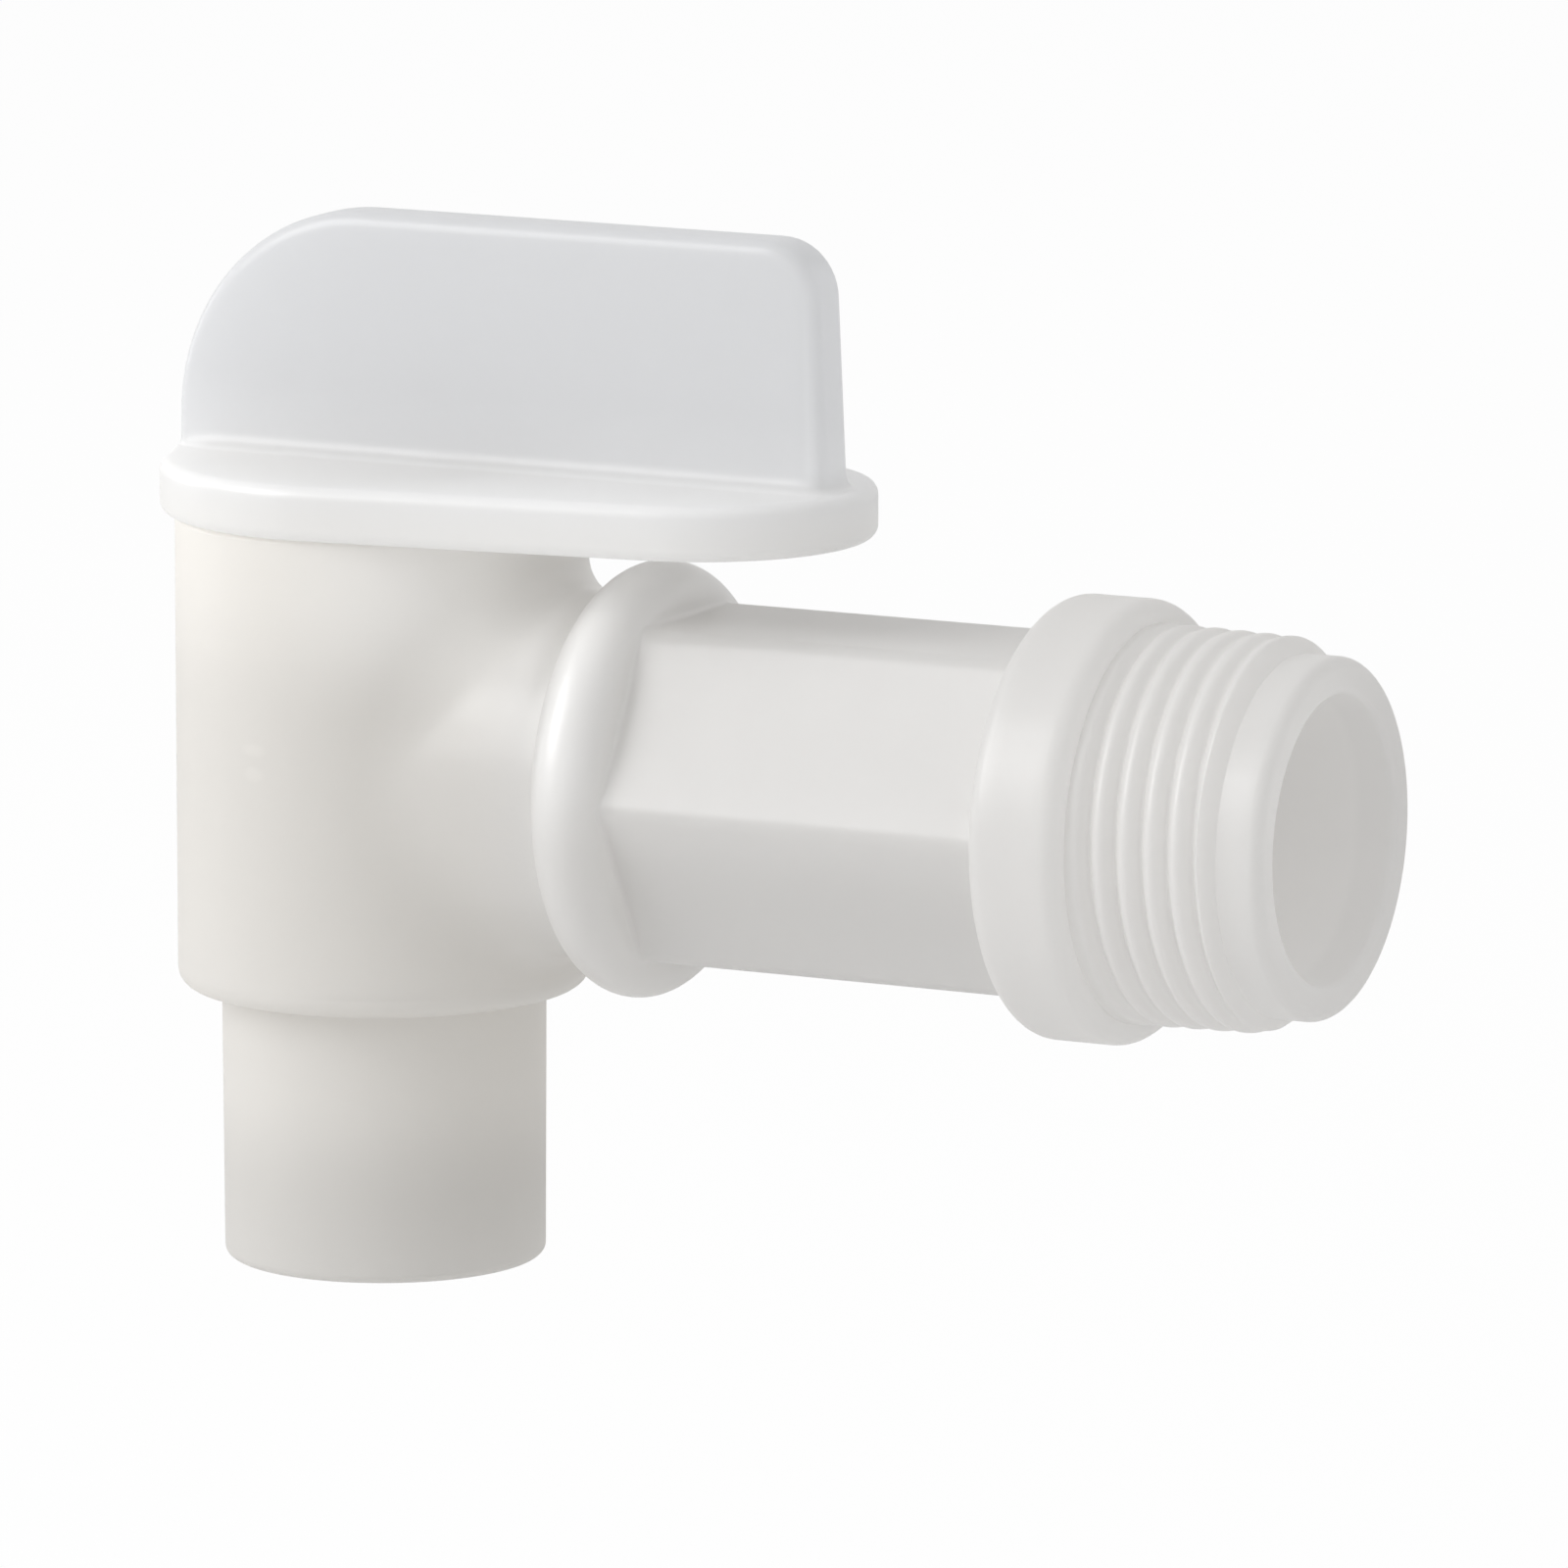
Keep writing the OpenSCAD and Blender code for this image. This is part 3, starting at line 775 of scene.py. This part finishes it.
def plug_handle_mesh():
    """The handle: hollow tapered plug with its port and snap ring, plate and blade."""
    skin = Skin()
    wall_low, wall_high = PLUG_END_Z + PLUG_END_MARGIN, SNAP_Z - SNAP_HALF - PLUG_TOP_MARGIN
    skin.grid(turned(path(
        (HOLLOW_R, wall_low), (HOLLOW_R, PLUG_END_Z, BORE_LIP),
        (plug_r(PLUG_END_Z) - SNAP_H, PLUG_END_Z, SOFT_EDGE, 2),
        (plug_r(PLUG_END_Z), PLUG_END_Z + SNAP_H, FINE_EDGE),
        (plug_r(wall_low), wall_low))), closed=True)
    for radius_at in (plug_r, hollow_r):
        wall_with_hole(skin, *port_curve(radius_at), wall_low, wall_high, radius_at)
    outer_angles, heights = port_curve(plug_r)
    inner_angles, _ = port_curve(hollow_r)
    outer_x = plug_r(heights) * np.cos(outer_angles)
    inner_x = HOLLOW_R * np.cos(inner_angles)
    share = np.linspace(0, 1, PORT_STEPS + 1)[:, None]
    skin.grid(around(outer_x + (inner_x - outer_x) * share, PORT_R), closed=True)
    skin.grid(turned(path(
        (plug_r(wall_high), wall_high),
        (plug_r(SNAP_Z - SNAP_HALF), SNAP_Z - SNAP_HALF, SNAP_ROOT),
        (plug_r(SNAP_Z) + SNAP_H, SNAP_Z - SNAP_HALF + SNAP_H, FINE_EDGE),
        (plug_r(SNAP_Z) + SNAP_H, SNAP_Z + SNAP_HALF - SNAP_H, FINE_EDGE),
        (plug_r(SNAP_Z + SNAP_HALF), SNAP_Z + SNAP_HALF, SNAP_ROOT),
        (PLUG_TOP_R, PLATE_Z, 0, 3))), closed=True)
    skin.grid(turned(path(
        (HOLLOW_R, wall_high), (HOLLOW_R, HOLLOW_TOP_Z, HOLLOW_ROUND, 5),
        (0, HOLLOW_TOP_Z, 0, 6))), closed=True)

    rim, rim_out = plate_stations()
    foot, foot_out = blade_foot()
    columns = 2 * np.pi * np.arange(COLUMNS) / COLUMNS
    plug_rim = PLUG_TOP_R * np.stack([np.cos(columns), np.sin(columns)], 1)
    fine = np.linspace(0, 1, OUTLINE_FINE_STEPS)
    fine_rim = along(np.concatenate([rim, rim[:1]]), fine)
    fine_foot = along(np.concatenate([foot, foot[:1]]), fine)
    edge = np.minimum(PLATE_EDGE, LEDGE_EDGE_SHARE * nearest(rim, fine_foot))[:, None]
    root = np.minimum(BLADE_ROOT, LEDGE_ROOT_SHARE * nearest(foot, fine_rim))[:, None]
    root_z = PLATE_TOP_Z + BLADE_ROOT
    quarter = np.linspace(0, math.pi / 2, ARC + 1)
    under = [ring(plug_rim + (rim - rim_out * PLATE_EDGE - plug_rim) * s, PLATE_Z)
             for s in np.linspace(0, 1, PLATE_UNDER_STEPS + 1)[:-1]]
    lower = [ring(rim - rim_out * PLATE_EDGE * (1 - math.sin(a)),
                  PLATE_Z + PLATE_EDGE * (1 - math.cos(a))) for a in quarter]
    upper = [ring(rim - rim_out * edge * (1 - math.cos(a)),
                  PLATE_TOP_Z - PLATE_EDGE * (1 - math.sin(a))) for a in quarter]
    top = [ring(rim - rim_out * edge + (foot + foot_out * root - rim + rim_out * edge) * s,
                PLATE_TOP_Z) for s in np.linspace(0, 1, PLATE_TOP_STEPS + 1)[1:-1]]
    fillet = [ring(foot + foot_out * root * (1 - math.sin(a)),
                   PLATE_TOP_Z + BLADE_ROOT * (1 - math.cos(a))) for a in quarter]
    skin.grid(np.array(under + lower + upper + top + fillet), closed=True)

    y, inset, _ = blade_section()
    rim_paths = [np.concatenate([b, o[1:], d[-2::-1]])
                 for b, o, d in (blade_edges(i, root_z) for i in inset)]
    strip = np.array([np.stack([p[:, 0], v + 0 * p[:, 0], p[:, 1]], 1)
                      for p, v in zip(rim_paths, y)])
    skin.grid(thinned(strip, root_z))
    for side in (-BLADE_HALF, BLADE_HALF):
        skin.grid(blade_face(*blade_edges(BLADE_EDGE, root_z), side, root_z))
    return skin.mesh("plug_handle_moulding")


def eased(net, value, start, end, low, high):
    """A smooth step of value from low to high between start and end, which are in millimetres."""
    return net.add("ShaderNodeMapRange", {"interpolation_type": "SMOOTHSTEP"}, {
        "Value": value, "From Min": start * MM, "From Max": end * MM, "To Min": low, "To Max": high})


def mark(net, x, y, z, height, half_width, half_height):
    """1 at a small raised spot on the front of the barrel's wall, and 0 away from it."""
    along_wall = (x + REACH * MM) * -math.sin(MARK_TURN) + y * math.cos(MARK_TURN)
    across, up = along_wall / (half_width * MM), (z - height * MM) / (half_height * MM)
    spot = (1.0 - (across * across + up * up)).clamped()
    return spot * (3.0 - 2.0 * spot) * spot * eased(net, y, *FRONT_SIDE_Y)


def body_looks(net, x, y, z):
    """Painted light and shade on the body, how creamy it shows, its relief, and the share of its
    light that comes through from behind."""
    # Painted shade: the spout darker towards its lower end.
    spout = eased(net, z, *SPOUT_PAINTED_SHADE_Z)
    at_barrel = eased(net, x, *BARREL_X_RAMP)
    # Painted light: the barrel a little lighter all over, and more towards its top under the plate.
    barrel = 1.0 + at_barrel * (BARREL_PAINTED_LIGHT + eased(net, z, *BARREL_PAINTED_LIGHT_Z))
    # Painted light: the bead a little lighter below its top.
    bead = 1.0 + BEAD_PAINTED_LIGHT * eased(net, x, *BEAD_PAINTED_LIGHT_X) * eased(net, z, *BEAD_PAINTED_LIGHT_Z) * at_barrel
    # Painted shade: the lower half of the neck darker, from the bead to the collar.
    low = eased(net, z, *NECK_SHADE_Z) * eased(net, x, *NECK_SHADE_X)
    neck = 1.0 - NECK_SHADE * (1.0 - at_barrel) * low
    # Painted light: the collar, thread and bore lighter, and painted shade towards the mouth.
    end = 1.0 + eased(net, x, *END_PAINTED_LIGHT_X) - eased(net, x, *MOUTH_SHADE_X)
    first, second = (mark(net, x, y, z, *sizes) for sizes in MARKS)
    marks = first + second
    # All the painted light and shade of the body, and a little lighter colour on the marks.
    light = spout * barrel * bead * neck * end * (1.0 + MARK_LIGHT * marks)
    on_barrel = eased(net, x, *DENSE_BARREL_FROM_X) * eased(net, x, *DENSE_BARREL_TO_X)
    on_bead = eased(net, x, *DENSE_BEAD_FROM_X) * eased(net, x, *DENSE_BEAD_TO_X)
    dense = on_barrel * eased(net, z, *DENSE_BARREL_Z) + on_bead * eased(net, z, *DENSE_BEAD_Z)
    cream = eased(net, x, *BODY_CREAM_X)
    return light, cream, marks * MARK_RELIEF, CLEAR - BODY_DENSE * dense


def handle_looks(net, x, y, z):
    """The same four for the handle: painted light makes the plate and the blade's foot lighter than
    the blade above them and lights the blade's end, the plate and foot show creamier, and it has
    no relief of its own."""
    # Painted light on the plate, and painted shade on the blade higher up.
    light = eased(net, z, *PLATE_PAINTED_LIGHT_Z) * eased(net, z, *BLADE_SHADE_Z)
    # Painted light: the blade's end lighter above the plate.
    front = eased(net, x, *BLADE_END_PAINTED_LIGHT_X) * eased(net, z, *BLADE_END_PAINTED_LIGHT_Z)
    on_top = eased(net, z, *DENSE_PLATE_FROM_Z) * eased(net, z, *DENSE_PLATE_TO_Z)
    cream = eased(net, z, *HANDLE_CREAM_Z)
    return light * (1.0 + front), cream, 0.0, CLEAR - HANDLE_DENSE * on_top


def polyethylene(name, plain, creamy, looks):
    """Natural polyethylene: milky, satin, slightly translucent, with painted light and shade in its
    colour.
    """
    material = bpy.data.materials.new(name)
    material.use_nodes = True
    tree = material.node_tree
    tree.nodes.clear()
    net = Net(tree)
    place = net.add("ShaderNodeTexCoord", output="Object")
    apart = [net.add("ShaderNodeSeparateXYZ", {}, {"Vector": place}, i) for i in range(3)]
    light, cream, relief, clear = looks(net, *apart)
    ripple = net.add("ShaderNodeTexNoise", {}, {
        "Vector": place, "Scale": RIPPLE_SCALE, "Detail": 1.0})
    cloud = net.add("ShaderNodeTexNoise", {}, {
        "Vector": place, "Scale": CLOUD_SCALE, "Detail": 0.0})
    drawn = net.add("ShaderNodeVectorMath", {"operation": "MULTIPLY"}, {
        0: place, 1: STREAK_SCALE})
    streak = net.add("ShaderNodeTexNoise", {}, {"Vector": drawn, "Scale": 1.0, "Detail": 0.0})
    streaks = ((streak - STREAK_START) * STREAK_GAIN).clamped()
    worn = streaks * ((cloud - SCUFF_START) * SCUFF_GAIN).clamped()
    own = net.add("ShaderNodeMix", {"data_type": "RGBA"}, {
        "Factor": cream, "A": (*plain, 1), "B": (*creamy, 1)}, output=2)
    # Own colour times the painted light and shade, and a faint random cloudiness
    tint_with_painted_light = net.add("ShaderNodeVectorMath", {"operation": "SCALE"}, {
        0: own, "Scale": light * (1.0 - CLOUD_SHADE * cloud)})
    bump = net.add("ShaderNodeBump", {}, {
        "Strength": BUMP_STRENGTH, "Distance": BUMP_DEPTH, "Height": ripple + relief})
    shade = net.add("ShaderNodeBsdfPrincipled", {}, {
        "Base Color": tint_with_painted_light, "IOR": PLASTIC_IOR,
        "Roughness": SATIN + RIPPLE_SATIN * ripple + SCUFF_SATIN * worn,
        "Specular IOR Level": SURFACE_SHINE, "Normal": bump})
    through = net.add("ShaderNodeBsdfTranslucent", {}, {"Color": tint_with_painted_light})
    shade = net.add("ShaderNodeMixShader", {}, {0: clear, 1: shade, 2: through})
    net.add("ShaderNodeOutputMaterial", {}, {"Surface": shade}, output=None)
    return material


def piece(name, mesh, material, body, node):
    """Puts a finished mesh into the scene in place of a solid."""
    thing = bpy.data.objects.new(name, mesh)
    bpy.context.scene.collection.objects.link(thing)
    mesh.materials.clear()
    mesh.materials.append(material)
    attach(thing, body)
    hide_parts(node)


def place_camera():
    """The photograph's view, in which the barrel shows at BARREL_PIXEL."""
    right = Vector((math.cos(AZIMUTH), math.sin(AZIMUTH), 0))
    back = Vector((math.sin(AZIMUTH) * math.cos(ELEVATION),
                   -math.cos(AZIMUTH) * math.cos(ELEVATION), math.sin(ELEVATION)))
    up = back.cross(right)
    camera = bpy.data.objects.new("camera", bpy.data.cameras.new("camera"))
    bpy.context.scene.collection.objects.link(camera)
    camera.data.sensor_width = SENSOR
    camera.data.lens = SENSOR * FOCAL / IMAGE
    camera.data.clip_start, camera.data.clip_end = CLIP_NEAR, CLIP_FAR
    barrel = Vector((-REACH, 0, 0))
    aside, below = (pixel - IMAGE / 2 for pixel in BARREL_PIXEL)
    spot = (barrel - right * aside / PIXELS_PER_MM + up * below / PIXELS_PER_MM
            + back * FOCAL / PIXELS_PER_MM) * MM
    camera.matrix_world = Matrix.Translation(spot) @ Matrix((right, up, back)).transposed().to_4x4()
    bpy.context.scene.camera = camera


def area_lamp(name, spot, size, power):
    """A square soft box that faces the tap."""
    lamp = bpy.data.lights.new(name, "AREA")
    lamp.shape, lamp.size, lamp.energy = "SQUARE", size, power
    box = bpy.data.objects.new(name, lamp)
    bpy.context.scene.collection.objects.link(box)
    box.location = spot
    box.rotation_mode = "QUATERNION"
    box.rotation_quaternion = (LAMP_AIM - Vector(spot)).to_track_quat("-Z", "Y")


def seen_white(net):
    """1 for the rays that show the background, camera, glossy and clear transmission rays, and
    0 for those that light a surface, also from behind it."""
    seen = [net.add("ShaderNodeLightPath", output=name)
            for name in ("Is Camera Ray", "Is Glossy Ray", "Is Transmission Ray")]
    lights = net.add("ShaderNodeLightPath", output="Is Diffuse Ray")
    return (seen[0] + seen[1] + seen[2] - lights).clamped()


def studio():
    """Pale floor, white surroundings and soft boxes."""
    mesh = bpy.data.meshes.new("floor")
    z = SPOUT_END_Z * MM - FLOOR_DROP
    corners = [(x * FLOOR_HALF, y * FLOOR_HALF, z) for x, y in ((-1, -1), (1, -1), (1, 1), (-1, 1))]
    mesh.from_pydata(corners, [], [(0, 1, 2, 3)])
    floor = bpy.data.objects.new("floor", mesh)
    bpy.context.scene.collection.objects.link(floor)
    material = bpy.data.materials.new("floor")
    material.use_nodes = True
    material.node_tree.nodes.clear()
    net = Net(material.node_tree)
    matt = net.add("ShaderNodeBsdfDiffuse", {}, {"Color": FLOOR_GREY})
    glow = net.add("ShaderNodeEmission", {}, {"Color": WHITE, "Strength": 1.0})
    shown = seen_white(net) * FLOOR_WHITE
    mixed = net.add("ShaderNodeMixShader", {}, {0: shown, 1: matt, 2: glow})
    net.add("ShaderNodeOutputMaterial", {}, {"Surface": mixed}, output=None)
    mesh.materials.append(material)

    world = bpy.data.worlds.new("studio")
    bpy.context.scene.world = world
    world.use_nodes = True
    world.node_tree.nodes.clear()
    net = Net(world.node_tree)
    level = WORLD_LEVEL + (1 - WORLD_LEVEL) * seen_white(net)
    sky = net.add("ShaderNodeBackground", {}, {"Color": WHITE, "Strength": level})
    net.add("ShaderNodeOutputWorld", {}, {"Surface": sky}, output=None)
    for name, (spot, size, power) in LAMPS.items():
        area_lamp(name, spot, size, power)


place_camera()
studio()
body_plastic = polyethylene("natural_polyethylene_body", BODY_PLAIN, BODY_CREAMY, body_looks)
handle_plastic = polyethylene("natural_polyethylene_handle", HANDLE_PLAIN, HANDLE_CREAMY,
                              handle_looks)
piece("tap_body_moulding", tap_body_mesh(body_plastic), body_plastic,
      "body", "tap_body")
piece("plug_handle_moulding", plug_handle_mesh(), handle_plastic,
      "plug", "plug_handle")
bpy.context.scene.view_settings.view_transform = "Standard"
